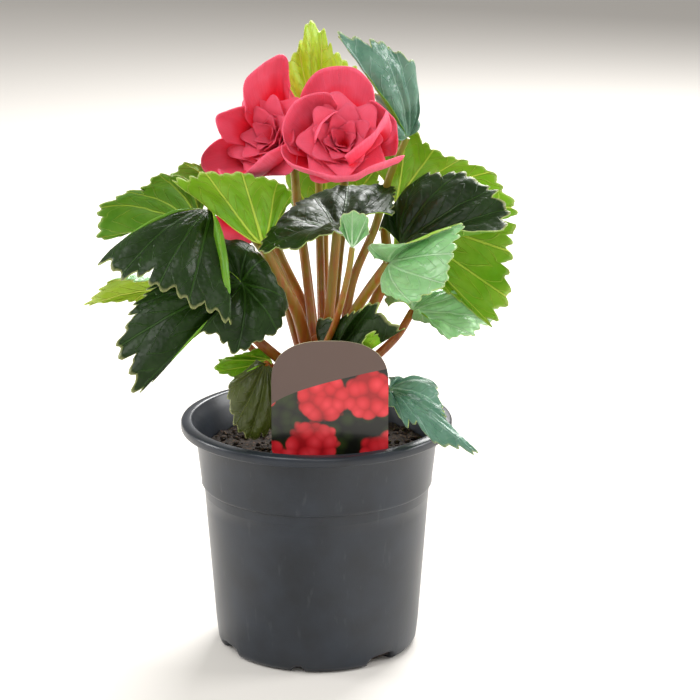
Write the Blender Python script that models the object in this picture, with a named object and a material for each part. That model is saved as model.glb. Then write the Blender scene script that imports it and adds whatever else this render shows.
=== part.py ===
"""Potted tuberous begonia: a moulded nursery pot, its root ball, a plant label, the main stem, leaves on
their stalks and three double flowers. Metres, +Z up, origin on the pot's axis at the floor, front at -Y."""

import math

import bmesh
import bpy
from mathutils import Matrix, Vector

MM = 0.001
GAP = 0.3  # clearance between neighbouring pieces, in mm as every size below

# Pot
RIM_RADIUS = 65.0
RIM_HEIGHT = 113.0
RIM_WIDTH = 5.3
BASE_RADIUS = 48.4
LEDGE_HEIGHT = 82.0
LOWER_TAPER = 6.0  # growth of the wall's radius up to the ledge
LEDGE_STEP = 1.2
UPPER_TAPER = 3.0  # growth from the ledge up to the rim
WALL = 1.1
FLOOR = 1.5
TURNS = 48
ARCH_COUNT = 7
ARCH_TURN = -61.7  # angle of the first drain arch from the front
ARCH_WIDTHS = (17.0, 6.0)
ARCH_HEIGHTS = (3.4, 1.6)

# Root ball, stem and label
SOIL_HEIGHT = 96.0
STEM_FOOT = (7.0, 2.0, 66.0)
STEM_MIDDLE = (6.0, 0.0, 108.0)
STEM_TOP = (4.0, -3.0, 152.0)
STEM_RADIUS = 7.0
LABEL_MIDDLE = (6.7, -44.0)
LABEL_WIDTH = 54.0
LABEL_TOP = 162.6
LABEL_SPRING = 142.0  # where the arched top starts
LABEL_SHOULDER = 106.0
LABEL_FOOT = 70.0
LABEL_STAKE = 15.0
LABEL_THICK = 0.8
ARCH_POWER = 2.6

# Leaves and petals
BLADE_THICK = 1.0
PETAL_THICK = 0.8
PETAL_CUP = 2.5
STALK_SIDES = 1  # bevel_resolution of every stalk's round section
STEPS_PER_VEIN = 2
STEPS_ALONG = 4

# Each leaf is a fan of veins: it has the point where the stalk meets the blade, the tips of its veins in
# order round the margin, how far the veins arch off the flat, and how deep the margin dips between them.
# root is the stalk's place on the main stem, as an angle and a height, and via are points on its way.
LEAVES = {
    "left_far": {
        "base": (-55, -2, 207),
        "tips": [(-68, 5, 203), (-84, 0, 204), (-102, -12, 202), (-102, -18, 221), (-89, -22, 228),
                 (-73, -22, 235), (-60, -15, 232)],
        "arch": 5, "dip": 0.07, "radius": 2.2, "root": (162, 131),
        "via": [(-11, 4, 160), (-18, 7, 183), (-26, 9, 196), (-44, 12, 205)],
    },
    "left_front": {
        "base": (-24, -25, 203),
        "tips": [(-14, -22, 216), (-10, -25, 227), (-17, -30, 236), (-33, -38, 240), (-50, -40, 241),
                 (-67, -36, 238)],
        "arch": -5, "dip": 0.05, "radius": 2.9, "root": (-140, 148),
        "via": [(-9, -15, 169), (-18, -21, 188)],
    },
    "left_drooping": {
        "base": (-49, -22, 219),
        "tips": [(-82, -40, 206), (-99, -50, 200), (-89, -60, 194), (-71, -65, 190), (-57, -65, 183),
                 (-38, -65, 174), (-42, -55, 193), (-46, -42, 205)],
        "arch": 7, "dip": 0.07, "radius": 2.2, "root": (-165, 139.5),
        "via": [(-11, -4, 160), (-17, -8, 185), (-27, -12, 201), (-38, -16, 216)],
    },
    "left_low": {
        "base": (-34, -32, 187),
        "tips": [(-46, -20, 204), (-30, -18, 202), (-23, -30, 197), (-12, -37, 180), (-17, -44, 166),
                 (-36, -52, 157), (-54, -56, 167), (-82, -70, 144), (-91, -64, 164), (-85, -52, 179),
                 (-76, -40, 187)],
        "arch": -6, "dip": 0.08, "radius": 2.4, "root": (-130, 131),
        "via": [(-19, -24, 150), (-31, -24, 162), (-36, -24, 176)],
    },
    "left_small": {
        "base": (-70, 8, 174),
        "tips": [(-88, 10, 166), (-111, 5, 165), (-101, -2, 179), (-83, 0, 180)],
        "arch": 3, "dip": 0.07, "radius": 1.6, "root": (-170, 122.5),
        "via": [(-26, 6, 140), (-50, 9, 162)],
    },
    "back_left": {
        "base": (-44, 9, 225),
        "tips": [(-69, -1, 231), (-63, 6, 236), (-53, 12, 234), (-46, 13, 236)],
        "arch": 1, "dip": 0.07, "radius": 1.3, "root": (140, 139.5),
        "via": [(-10, 12, 163), (-20, 20, 187), (-42, 18, 215)],
    },
    "top_back": {
        "base": (1, 32, 250),
        "tips": [(-10, 29, 259), (-16, 32, 277), (-9, 36, 287), (-4, 38, 300), (3, 38, 296), (13, 34, 281),
                 (21, 30, 276)],
        "arch": -3, "dip": 0.06, "radius": 2.0, "root": (98, 139.5),
        "via": [(2, 25, 170), (1, 36, 215)],
    },
    "top_right": {
        "base": (43, 24, 244),
        "tips": [(28, 10, 266), (21, 2, 280), (10, -4, 299), (28, 8, 294), (36, 14, 289), (45, 22, 280),
                 (44, 28, 263)],
        "arch": -4, "dip": 0.04, "radius": 2.0, "root": (45, 139.5),
        "via": [(17, 17, 174), (28, 25, 200), (35, 26, 225)],
    },
    "right_large": {
        "base": (38, 32, 208),
        "tips": [(42, 34, 245), (55, 34, 234), (67, 32, 230), (80, 28, 225), (91, 22, 210), (89, 18, 191),
                 (88, 12, 172), (81, 10, 160), (63, 20, 171)],
        "arch": 5, "dip": 0.05, "radius": 2.6, "root": (30, 131),
        "via": [(25, 10, 160), (34, 20, 180), (33, 30, 199)],
    },
    "centre_left": {
        "base": (10, -14, 208),
        "tips": [(14, -38, 210), (-3, -39, 206), (-20, -36, 203), (-15, -15, 210), (-2, 15, 216),
                 (14, 20, 217), (33, 22, 217)],
        "arch": -4, "dip": 0.08, "radius": 2.5, "root": (-90, 148),
        "via": [(7, -13, 175)],
    },
    "centre_right": {
        "base": (40, 0, 197),
        "tips": [(39, 22, 211), (50, 20, 221), (64, 15, 222), (77, 8, 217), (82, 2, 211), (80, -8, 204),
                 (60, -18, 207)],
        "arch": -4, "dip": 0.07, "radius": 2.6, "root": (0, 148),
        "via": [(20, -2, 168)],
    },
    "right_glossy": {
        "base": (34, -30, 196),
        "tips": [(25, -34, 206), (44, -45, 209), (60, -42, 215), (69, -38, 216), (64, -46, 204),
                 (60, -55, 192), (45, -60, 184)],
        "arch": -5, "dip": 0.05, "radius": 2.6, "root": (-45, 148),
        "via": [(18, -17, 169)],
    },
    "right_low": {
        "base": (46, 15, 161),
        "tips": [(51, 8, 157), (62, 0, 151), (75, 8, 149), (86, 20, 154), (94, 32, 166), (81, 38, 168),
                 (63, 38, 167), (45, 30, 176), (29, 25, 173)],
        "arch": 4, "dip": 0.08, "radius": 2.2, "root": (-20, 131),
        "via": [(24, 2, 138), (38, 8, 150)],
    },
    "right_rim": {
        "base": (34, -24, 133),
        "tips": [(42, -40, 121), (54, -52, 118), (75, -62, 112), (65, -45, 118), (60, -30, 124),
                 (57, -12, 131), (46, -6, 130)],
        "arch": 4, "dip": 0.08, "radius": 1.8, "root": (-40, 122.5),
        "via": [(23, -16, 131)],
    },
    "front_left": {
        "base": (-23, -37, 150),
        "tips": [(-22, -42, 116), (-31, -43, 114), (-38, -43, 120), (-41, -44, 138), (-38, -42, 144),
                 (-31, -38, 148)],
        "arch": -4, "dip": 0.04, "radius": 1.8, "root": (-104, 122.5),
        "via": [(-6, -22, 129), (-17, -30, 141)],
    },
    "centre_back": {
        "base": (4, 46, 196),
        "tips": [(-10, 42, 209), (-10, 45, 218), (5, 47, 220), (24, 47, 219), (24, 45, 210)],
        "arch": 3, "dip": 0.07, "radius": 1.8, "root": (75, 122.5),
        "via": [(4, 28, 145), (4, 43, 170)],
    },
    "young_centre": {
        "base": (17, -46, 207),
        "tips": [(11, -48, 216), (12, -49, 223), (17, -50, 226), (24, -50, 223), (25, -48, 214)],
        "arch": 2, "dip": 0.1, "radius": 1.6, "root": (-112, 139.5),
        "via": [(4, -22, 153), (10, -31, 170), (15, -43, 193)],
    },
    "low_bract": {
        "base": (-20.3, -25.6, 147.6),
        "tips": [(-32, -33, 141), (-47, -38, 146), (-46, -36, 151), (-35, -30, 152.5)],
        "arch": 2, "dip": 0.03,
    },
    "low_arching": {
        "base": (8.3, -8.4, 139),
        "tips": [(19, -42, 177), (28, -48, 183), (40, -56, 172), (25, -47, 167)],
        "arch": -3, "dip": 0.05,
    },
}

# A flower has a heart: the receptacle and the tight inner petals, from its foot along its axis. Each petal
# is a fan that starts beside the receptacle, at a height on its axis, and ends at the tips of its veins.
FLOWERS = {
    "front_flower": {
        "foot": (13, -9, 244), "axis": (0, -0.83, 0.55), "size": 1.0,
        "root": (75, 148), "via": [(10, 24, 180), (13, 31, 208), (13, 18, 234)],
        "petals": {
            "left": (0, [(-12, -29, 251), (-15, -22, 258), (-11, -20, 267), (-5, -16, 270),
                         (2, -15, 271), (6, -15, 268)]),
            "back": (-1, [(-5, -5, 273), (4, -2, 280), (16, -2, 281), (23, -4, 276), (26, -7, 270)]),
            "right": (0, [(29, -13, 269), (35, -15, 263), (38, -18, 257), (39, -22, 248)]),
            "front": (-1, [(-13, -32, 249), (-10, -37, 243), (1, -42, 240), (13, -44, 238),
                           (23, -44, 241), (37, -37, 245)]),
            "right_front": (1, [(18, -41, 248), (28, -37, 256), (33, -31, 263), (36, -25, 258)]),
            "inner_left": (1.5, [(-1, -31, 255), (1, -28, 262), (9, -24, 266)]),
        },
    },
    "left_flower": {
        "foot": (-15, 5, 244), "axis": (-0.55, -0.7, 0.46), "size": 0.9,
        "root": (120, 148), "via": [(-5, 20, 180), (-9, 30, 208), (-11, 20, 234)],
        "petals": {
            "top": (0, [(-14, 9, 275), (-18, 9, 284), (-24, 4, 283), (-32, -4, 277), (-34, -9, 268)]),
            "right": (-1, [(-13, 14, 274), (-8, 7, 264), (-6, 1, 254)]),
            "upper_left": (1, [(-36, -10, 266), (-42, -13, 264), (-46, -16, 260), (-44, -16, 252)]),
            "lower_left": (-1, [(-49, -13, 249), (-53, -10, 241), (-51, -9, 235), (-43, -12, 233)]),
            "front": (1, [(-44, -26, 236), (-36, -30, 235), (-28, -31, 239), (-13, -23, 249)]),
        },
    },
    "hidden_flower": {
        "foot": (-34, 15, 218), "axis": (-0.1, -0.92, -0.38), "size": 0.6,
        "root": (118, 131), "via": [(-6, 22, 160), (-17, 33, 182), (-27, 31, 208), (-33, 24, 221)],
        "petals": {
            "lower": (0, [(-48, -3, 208), (-41, -8, 200), (-31, -7, 199), (-25, -1, 207)]),
            "upper": (0, [(-45, -2, 219), (-36, -4, 225), (-27, 0, 220)]),
        },
    },
}
HEART = [(-4, 2.4), (-2, 4.0), (2, 4.2), (5, 3.4), (9, 5.0), (13, 5.8), (17, 4.8), (19, 2.4)]
HEART_SIDES = 12

COLOURS = {
    "pot": (0.09, 0.10, 0.115, 1.0),
    "soil": (0.018, 0.010, 0.006, 1.0),
    "label": (0.16, 0.09, 0.075, 1.0),
    "stem": (0.16, 0.075, 0.012, 1.0),
    "leaf": (0.035, 0.12, 0.012, 1.0),
    "petal": (0.86, 0.09, 0.14, 1.0),
}
ROUGHNESS = {"pot": 0.42, "soil": 0.95, "label": 0.3, "stem": 0.45, "leaf": 0.35, "petal": 0.5}


def clear_scene():
    for thing in list(bpy.data.objects):
        bpy.data.objects.remove(thing, do_unlink=True)


def material(name, kind):
    made = bpy.data.materials.new(name)
    made.use_nodes = True
    shader = made.node_tree.nodes["Principled BSDF"]
    shader.inputs["Base Color"].default_value = COLOURS[kind]
    shader.inputs["Roughness"].default_value = ROUGHNESS[kind]
    shader.inputs["Metallic"].default_value = 0.0
    return made


def object_of(name, kind, data, parent=None):
    """A linked object with a material of its own."""
    made = bpy.data.objects.new(name, data)
    data.materials.append(material(name, kind))
    bpy.context.scene.collection.objects.link(made)
    made.parent = parent
    return made


def mesh_of(name, bm):
    """The bmesh in metres, as a smooth-shaded mesh."""
    bmesh.ops.recalc_face_normals(bm, faces=bm.faces)
    bmesh.ops.transform(bm, matrix=Matrix.Scale(MM, 4), verts=bm.verts)
    mesh = bpy.data.meshes.new(name)
    bm.to_mesh(mesh)
    bm.free()
    mesh.shade_smooth()
    mesh.set_sharp_from_angle(angle=math.radians(40))
    return mesh


def turned(profile, sides):
    """A bmesh: the profile of (radius, height) points turned about +Z, closed where it meets the axis."""
    bm = bmesh.new()
    points = [bm.verts.new((radius, 0, height)) for radius, height in profile]
    edges = [bm.edges.new(pair) for pair in zip(points, points[1:])]
    bmesh.ops.spin(
        bm, geom=points + edges, axis=(0, 0, 1), cent=(0, 0, 0), steps=sides,
        angle=math.tau, use_merge=True,
    )
    bmesh.ops.remove_doubles(bm, verts=bm.verts, dist=0.001)
    return bm


def cut(target, cutter):
    """Takes the cutter, a hidden helper, out of the target with a Boolean modifier."""
    cutter.hide_render = True
    cutter.display_type = "WIRE"
    modifier = target.modifiers.new("cut", "BOOLEAN")
    modifier.operation = "DIFFERENCE"
    modifier.solver = "EXACT"
    modifier.object = cutter


def inner_radius(height):
    """The pot's inside radius at a height, on its two straight stretches."""
    radius = BASE_RADIUS - WALL
    if height < LEDGE_HEIGHT:
        return radius + LOWER_TAPER * height / LEDGE_HEIGHT
    part = (height - LEDGE_HEIGHT) / (RIM_HEIGHT - LEDGE_HEIGHT)
    return radius + LOWER_TAPER + LEDGE_STEP + UPPER_TAPER * part


def arch_cutter(index):
    """A rounded block that opens one drain arch through the pot's bottom corner."""
    width = ARCH_WIDTHS[index % 2]
    height = ARCH_HEIGHTS[index % 2]
    bm = bmesh.new()
    bmesh.ops.create_cube(bm, size=1.0)
    bmesh.ops.scale(bm, vec=(width, 14.0, 2 * height), verts=bm.verts)
    edges = [
        edge for edge in bm.edges
        if all(vert.co.z > 0 for vert in edge.verts) and abs(edge.verts[0].co.x - edge.verts[1].co.x) < 1
    ]
    bmesh.ops.bevel(
        bm, geom=edges, offset=height * 0.7, offset_type="OFFSET", segments=3, profile=0.5,
        affect="EDGES", material=-1,
    )
    angle = math.radians(ARCH_TURN + index * 360 / ARCH_COUNT)
    bmesh.ops.translate(bm, vec=(0, -BASE_RADIUS, 0), verts=bm.verts)
    bmesh.ops.rotate(bm, cent=(0, 0, 0), matrix=Matrix.Rotation(angle, 3, "Z"), verts=bm.verts)
    return object_of(f"cutter_arch_{index}", "pot", mesh_of(f"cutter_arch_{index}", bm))


def make_pot(parent):
    wall_top = RIM_HEIGHT - 6.5
    ledge_radius = BASE_RADIUS + LOWER_TAPER + LEDGE_STEP
    outer = [
        (0, 0), (BASE_RADIUS - 4.0, 0), (BASE_RADIUS - 1.2, 1.1), (BASE_RADIUS, 3.8),
        (BASE_RADIUS + LOWER_TAPER, LEDGE_HEIGHT - 1.5), (ledge_radius, LEDGE_HEIGHT),
        (ledge_radius + 2.8, wall_top), (RIM_RADIUS - 3.0, RIM_HEIGHT - 4.0), (RIM_RADIUS - 0.8, RIM_HEIGHT - 5.0),
        (RIM_RADIUS, RIM_HEIGHT - 3.8), (RIM_RADIUS, RIM_HEIGHT - 1.4), (RIM_RADIUS - 1.0, RIM_HEIGHT - 0.2),
    ]
    inner = [
        (RIM_RADIUS - RIM_WIDTH + 0.9, RIM_HEIGHT), (RIM_RADIUS - RIM_WIDTH, RIM_HEIGHT - 0.8),
        (inner_radius(wall_top), wall_top), (inner_radius(LEDGE_HEIGHT), LEDGE_HEIGHT),
        (inner_radius(LEDGE_HEIGHT - 1.5), LEDGE_HEIGHT - 1.5), (inner_radius(5), 5.0),
        (inner_radius(0) - 2.6, FLOOR), (0, FLOOR),
    ]
    pot = object_of("pot", "pot", mesh_of("pot", turned(outer + inner, TURNS)), parent)
    for index in range(ARCH_COUNT):
        cut(pot, arch_cutter(index))
    return pot


def soil_top(x, y):
    """The compost's uneven surface."""
    broad = 0.9 * math.sin(x * 0.19 + 1.0) * math.cos(y * 0.17)
    return SOIL_HEIGHT + broad + 0.5 * math.sin(y * 0.3 + x * 0.11)


def make_soil(parent):
    rings = [inner_radius(SOIL_HEIGHT) - GAP, 44.0, 30.0, 16.0]
    profile = [
        (0, FLOOR + GAP), (inner_radius(0) - 3.4, FLOOR + GAP), (inner_radius(5) - GAP, 5.6),
        (inner_radius(LEDGE_HEIGHT - 1.5) - GAP, LEDGE_HEIGHT - 1.5),
        (inner_radius(LEDGE_HEIGHT) - GAP, LEDGE_HEIGHT + 0.6),
    ]
    profile += [(radius, SOIL_HEIGHT) for radius in rings] + [(0, SOIL_HEIGHT)]
    bm = turned(profile, TURNS)
    for vert in bm.verts:
        if vert.co.z > SOIL_HEIGHT - 0.01 and vert.co.xy.length < rings[0] - 1:
            vert.co.z = soil_top(vert.co.x, vert.co.y)
    soil = object_of("root_ball", "soil", mesh_of("root_ball", bm), parent)
    bm = bmesh.new()
    bmesh.ops.create_cone(
        bm, cap_ends=True, segments=16, depth=60.0,
        radius1=STEM_RADIUS + 1.2, radius2=STEM_RADIUS + 1.2,
    )
    foot = Vector(STEM_FOOT) + Vector((-0.4, -0.6, 30.0 - 3 * GAP))
    bmesh.ops.translate(bm, vec=foot, verts=bm.verts)
    cut(soil, object_of("cutter_stem", "soil", mesh_of("cutter_stem", bm)))
    bm = bmesh.new()
    bmesh.ops.create_cube(bm, size=1.0)
    bmesh.ops.scale(bm, vec=(LABEL_STAKE + 2 * GAP, LABEL_THICK + 2 * GAP, 60.0), verts=bm.verts)
    bmesh.ops.translate(bm, vec=(*LABEL_MIDDLE, LABEL_FOOT + 30.0 - GAP), verts=bm.verts)
    cut(soil, object_of("cutter_label", "soil", mesh_of("cutter_label", bm)))


def make_label(parent):
    """A flat card with an arched top, shoulders and a stake that stands in the compost."""
    half = LABEL_WIDTH / 2
    arch = []
    for step in range(21):
        x = half * math.cos(math.pi * step / 20)
        rise = (1 - abs(x / half) ** ARCH_POWER) ** (1 / ARCH_POWER)
        arch.append((x, LABEL_SPRING + (LABEL_TOP - LABEL_SPRING) * rise))
    stake = LABEL_STAKE / 2
    lower = [
        (-half, LABEL_SHOULDER + 4), (-half + 4, LABEL_SHOULDER), (-stake, LABEL_SHOULDER - 3),
        (-stake, LABEL_FOOT + 8), (0, LABEL_FOOT), (stake, LABEL_FOOT + 8), (stake, LABEL_SHOULDER - 3),
        (half - 4, LABEL_SHOULDER), (half, LABEL_SHOULDER + 4),
    ]
    bm = bmesh.new()
    middle, depth = LABEL_MIDDLE
    corners = [bm.verts.new((middle + x, depth - LABEL_THICK / 2, z)) for x, z in arch + lower]
    face = bm.faces.new(corners)
    grown = bmesh.ops.extrude_face_region(bm, geom=[face])
    moved = [item for item in grown["geom"] if isinstance(item, bmesh.types.BMVert)]
    bmesh.ops.translate(bm, vec=(0, LABEL_THICK, 0), verts=moved)
    object_of("plant_label", "label", mesh_of("plant_label", bm), parent)


def smooth_path(points, steps):
    """Points on a Catmull-Rom curve through the given points."""
    line = [Vector(p) for p in points]
    line = [2 * line[0] - line[1]] + line + [2 * line[-1] - line[-2]]
    path = []
    for a, b, c, d in zip(line, line[1:], line[2:], line[3:]):
        for step in range(steps):
            path.append(between(a, b, c, d, step / steps))
    return path + [line[-2]]


def between(a, b, c, d, t):
    """The Catmull-Rom point between b and c."""
    return 0.5 * (2 * b + (c - a) * t + (2 * a - 5 * b + 4 * c - d) * t**2 + (3 * b - a - 3 * c + d) * t**3)


def tube(name, kind, points, radii, sides, parent):
    """A round rod along the points, with filled caps."""
    curve = bpy.data.curves.new(name, "CURVE")
    curve.dimensions = "3D"
    curve.bevel_depth = MM
    curve.bevel_resolution = sides
    curve.use_fill_caps = True
    spline = curve.splines.new("POLY")
    spline.points.add(len(points) - 1)
    for place, point, radius in zip(spline.points, points, radii):
        place.co = (*(point * MM), 1.0)
        place.radius = radius
    spline.use_smooth = True
    return object_of(name, kind, curve, parent)


def stem_axis(height):
    """The main stem's middle at a height."""
    foot, middle, top = Vector(STEM_FOOT), Vector(STEM_MIDDLE), Vector(STEM_TOP)
    if height < middle.z:
        return foot.lerp(middle, (height - foot.z) / (middle.z - foot.z))
    return middle.lerp(top, (height - middle.z) / (top.z - middle.z))


def make_stem(parent):
    heights = [STEM_FOOT[2], 80, 95, STEM_MIDDLE[2], 125, 140, STEM_TOP[2]]
    radii = [STEM_RADIUS - 1, STEM_RADIUS] + [STEM_RADIUS] * 5
    tube("main_stem", "stem", [stem_axis(z) for z in heights], radii, 2, parent)


def make_stalk(name, root, via, end, radius, parent):
    """A stalk that leaves the main stem square to it, bends upwards and ends short of what it carries."""
    angle = math.radians(root[0])
    out = Vector((math.cos(angle), math.sin(angle), 0))
    start = stem_axis(root[1]) + out * (STEM_RADIUS + GAP)
    bend = start + out * radius
    end = Vector(end)
    short = (end - Vector(via[-1])).normalized() * (BLADE_THICK / 2 + GAP)
    path = [start] + smooth_path([bend, *via, end - short], 3)
    count = len(path) - 1
    radii = [radius * (1.15 - 0.3 * index / count) for index in range(count + 1)]
    tube(name, "stem", path, radii, STALK_SIDES, parent)


def fan_point(base, tips, arch, dip, normal, u, t):
    """A point on a blade: u counts the veins round the margin, and t runs from the base, 0, to the tips, 1."""
    first = min(int(u), len(tips) - 2)
    part = u - first
    reach = t * (1 - dip * math.sin(math.pi * part) ** 2)
    near = []
    for index in range(first - 1, first + 3):
        if 0 <= index < len(tips):
            near.append(vein_point(base, tips[index], arch, normal, reach))
        elif index < 0:
            near.append(2 * vein_point(base, tips[0], arch, normal, reach)
                        - vein_point(base, tips[1], arch, normal, reach))
        else:
            near.append(2 * vein_point(base, tips[-1], arch, normal, reach)
                        - vein_point(base, tips[-2], arch, normal, reach))
    return between(*near, part)


def vein_point(base, tip, arch, normal, t):
    """A point on one vein, which arches off the straight line from base to tip."""
    return base.lerp(tip, t) + normal * (4 * arch * t * (1 - t))


def make_fan(name, kind, base, tips, arch, dip, thickness, parent, outward=None):
    """A thin curved blade, spread from its base to its vein tips. Its veins arch to the side that outward
    points to, or where there is none to the side from which the tips run anticlockwise."""
    base = Vector(base)
    tips = [Vector(tip) for tip in tips]
    normal = Vector((0, 0, 0))
    for one, two in zip(tips, tips[1:]):
        normal += (one - base).cross(two - base)
    normal.normalize()
    if outward and normal.dot(outward) < 0:
        normal.negate()
    across = STEPS_PER_VEIN * (len(tips) - 1)
    bm = bmesh.new()
    bmesh.ops.create_grid(bm, x_segments=across, y_segments=STEPS_ALONG, size=0.5)
    for vert in bm.verts:
        u = (vert.co.x + 0.5) * (len(tips) - 1)
        vert.co = fan_point(base, tips, arch, dip, normal, u, vert.co.y + 0.5)
    bmesh.ops.remove_doubles(bm, verts=bm.verts, dist=0.01)
    mesh = mesh_of(name, bm)
    blade = object_of(name, kind, mesh, parent)
    shell = blade.modifiers.new("thickness", "SOLIDIFY")
    shell.thickness = thickness * MM
    shell.offset = 0.0
    return blade


def make_leaves(parent):
    for name, leaf in LEAVES.items():
        make_fan(f"leaf_{name}", "leaf", leaf["base"], leaf["tips"], leaf["arch"], leaf["dip"],
                 BLADE_THICK, parent)
        if "root" in leaf:
            make_stalk(f"leaf_stalk_{name}", leaf["root"], leaf["via"], leaf["base"], leaf["radius"],
                       parent)


def make_heart(name, foot, axis, size, parent):
    """The flower's receptacle with its closed inner petals, turned about the flower's axis."""
    profile = [(0, HEART[0][0])] + [(r, s) for s, r in HEART] + [(0, HEART[-1][0] + 0.6)]
    bm = turned([(r * size, s * size) for r, s in profile], HEART_SIDES)
    turn = Vector((0, 0, 1)).rotation_difference(Vector(axis)).to_matrix()
    bmesh.ops.rotate(bm, cent=(0, 0, 0), matrix=turn, verts=bm.verts)
    bmesh.ops.translate(bm, vec=foot, verts=bm.verts)
    object_of(name, "petal", mesh_of(name, bm), parent)


def petal_side(foot, axis, tips):
    """The direction square to the flower's axis in which a petal lies."""
    middle = sum((Vector(tip) for tip in tips), Vector()) / len(tips) - foot
    return (middle - axis * middle.dot(axis)).normalized()


def make_flowers(parent):
    for name, flower in FLOWERS.items():
        foot = Vector(flower["foot"])
        axis = Vector(flower["axis"]).normalized()
        size = flower["size"]
        make_heart(f"{name}_heart", foot, axis, size, parent)
        make_stalk(f"flower_stalk_{name.split('_')[0]}", flower["root"], flower["via"],
                   foot + axis * (HEART[0][0] * size - GAP), 2.2, parent)
        for petal, (height, tips) in flower["petals"].items():
            out = petal_side(foot, axis, tips)
            seat = foot + axis * height * size + out * (HEART[2][1] * size + GAP + PETAL_THICK / 2)
            make_fan(f"{name}_petal_{petal}", "petal", seat, tips, PETAL_CUP, 0.0, PETAL_THICK, parent, out)


def main():
    clear_scene()
    plant = bpy.data.objects.new("potted_begonia", None)
    bpy.context.scene.collection.objects.link(plant)
    make_pot(plant)
    make_soil(plant)
    make_label(plant)
    make_stem(plant)
    make_leaves(plant)
    make_flowers(plant)


main()
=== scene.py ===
"""Looks of a potted tuberous begonia, built as a Blender add-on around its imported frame."""

import math
import random

import bmesh
import bpy
from mathutils import Matrix, Vector, noise


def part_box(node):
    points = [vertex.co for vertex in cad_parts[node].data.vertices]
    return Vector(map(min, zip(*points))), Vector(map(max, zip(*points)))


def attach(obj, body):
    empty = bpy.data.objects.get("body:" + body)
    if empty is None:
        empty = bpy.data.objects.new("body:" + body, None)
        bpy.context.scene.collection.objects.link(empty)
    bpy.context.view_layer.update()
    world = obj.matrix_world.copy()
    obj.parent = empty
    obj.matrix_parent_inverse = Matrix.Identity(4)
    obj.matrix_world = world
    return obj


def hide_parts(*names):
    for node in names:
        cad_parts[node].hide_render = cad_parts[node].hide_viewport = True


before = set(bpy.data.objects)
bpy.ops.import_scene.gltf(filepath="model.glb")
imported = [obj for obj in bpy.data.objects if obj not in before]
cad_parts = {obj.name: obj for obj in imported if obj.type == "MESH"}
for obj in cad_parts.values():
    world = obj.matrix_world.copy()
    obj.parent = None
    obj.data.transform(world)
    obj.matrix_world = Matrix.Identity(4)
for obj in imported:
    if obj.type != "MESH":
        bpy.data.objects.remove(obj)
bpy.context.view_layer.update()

bl_info = {
    "name": "Potted Begonia",
    "version": (1, 0, 0),
    "blender": (4, 5, 0),
    "location": "View3D > Sidebar > Begonia",
    "description": "Builds the pot, compost, label, stalks, leaves and double flowers",
    "category": "Add Mesh",
}

MM = 0.001
POT_HIGH = Vector(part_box("pot")[1]) / MM
LABEL_LOW, LABEL_HIGH = [Vector(corner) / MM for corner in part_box("plant_label")]

# Pot, in mm
RIM_RADIUS = POT_HIGH.x
RIM_HEIGHT = POT_HIGH.z
RIM_WIDTH = 5.3
BASE_RADIUS = 48.4
LEDGE_HEIGHT = 82.0
LOWER_TAPER = 6.0  # growth of the wall's radius up to the ledge
LEDGE_STEP = 1.2
UPPER_TAPER = 3.0  # growth from the ledge up to the rim
WALL = 1.1
FLOOR = 1.5
CORNER = 4.0  # rounding of the bottom corner
ARCH_COUNT = 7
ARCH_TURN = -61.7  # angle of the first drain arch from the front
ARCH_WIDTHS = (17.0, 6.0)
ARCH_HEIGHTS = (3.4, 1.6)
ARCH_DRAWN = 1.4  # how much higher the arches are drawn than in the CAD
ARCH_FADE = 6.0  # height over which the wall takes up the arches' lift
SOIL_HEIGHT = 96.0

# Main stem
STEM_FOOT = (7.0, 2.0, 66.0)
STEM_MIDDLE = (6.0, 0.0, 108.0)
STEM_TOP = (4.0, -3.0, 152.0)
STEM_RADIUS = 7.0
FLOWER_STALK = 2.2

# Label
LABEL_SPRING = 142.0  # where the arched top starts
LABEL_SHOULDER = 106.0
LABEL_STAKE = 15.0
LABEL_CARD = 0.7
LABEL_BORDER = 0.95
ARCH_POWER = 2.6

# Leaves and petals
BLADE_THICK = 0.45
PETAL_THICK = 0.35
TOOTH = 6.5  # spacing of the leaves' coarse teeth
ROWS = 18
LEAF_DIP = 0.75  # share of the CAD blades' dip between veins
# Leaves that are drawn longer than their CAD blades
FULLER = {"centre_left": 1.2, "centre_right": 1.25, "right_large": 1.12, "centre_back": 1.3}
EARED = 22.0  # leaves longer than this have lobes beside the stalk
EARLESS = {"left_drooping", "left_front"}  # except these
EAR_TURN = 38.0
EAR_LENGTH = 0.55
PETAL_WIDER = 1.2
# How early a blade spreads, how far it swells between veins and how far it puckers
LEAF_FORM = (0.72, 1.6, 0.9)
PETAL_FORM = (0.5, 0.4, 0.3)
PETAL_ROLL = 3.0
GOLDEN = math.radians(137.5)
# The number of inner petals, and their scale
INNER = {"front_flower": (22, 1.1), "left_flower": (20, 1.3), "hidden_flower": (9, 1.1)}

# Stage: name, watts, size and place of each lamp
LAMPS = (
    ("key", 13.0, 0.8, (-0.7, -0.9, 1.5)), ("right", 12.0, 0.6, (1.3, 0.1, 0.6)),
    ("front", 7.0, 1.0, (0.2, -1.8, 1.0)), ("back", 32.0, 0.8, (0.4, 1.1, 1.1)),
    ("left", 9.0, 0.5, (-1.3, 0.2, 0.5)),
)
LAMP_TARGET = (0.0, 0.0, 0.17)
CAMERA_PLACE = (0.016, -1.2, 0.4845)
CAMERA_DOWN = 15.76
CAMERA_LENS = 134.64

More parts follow.
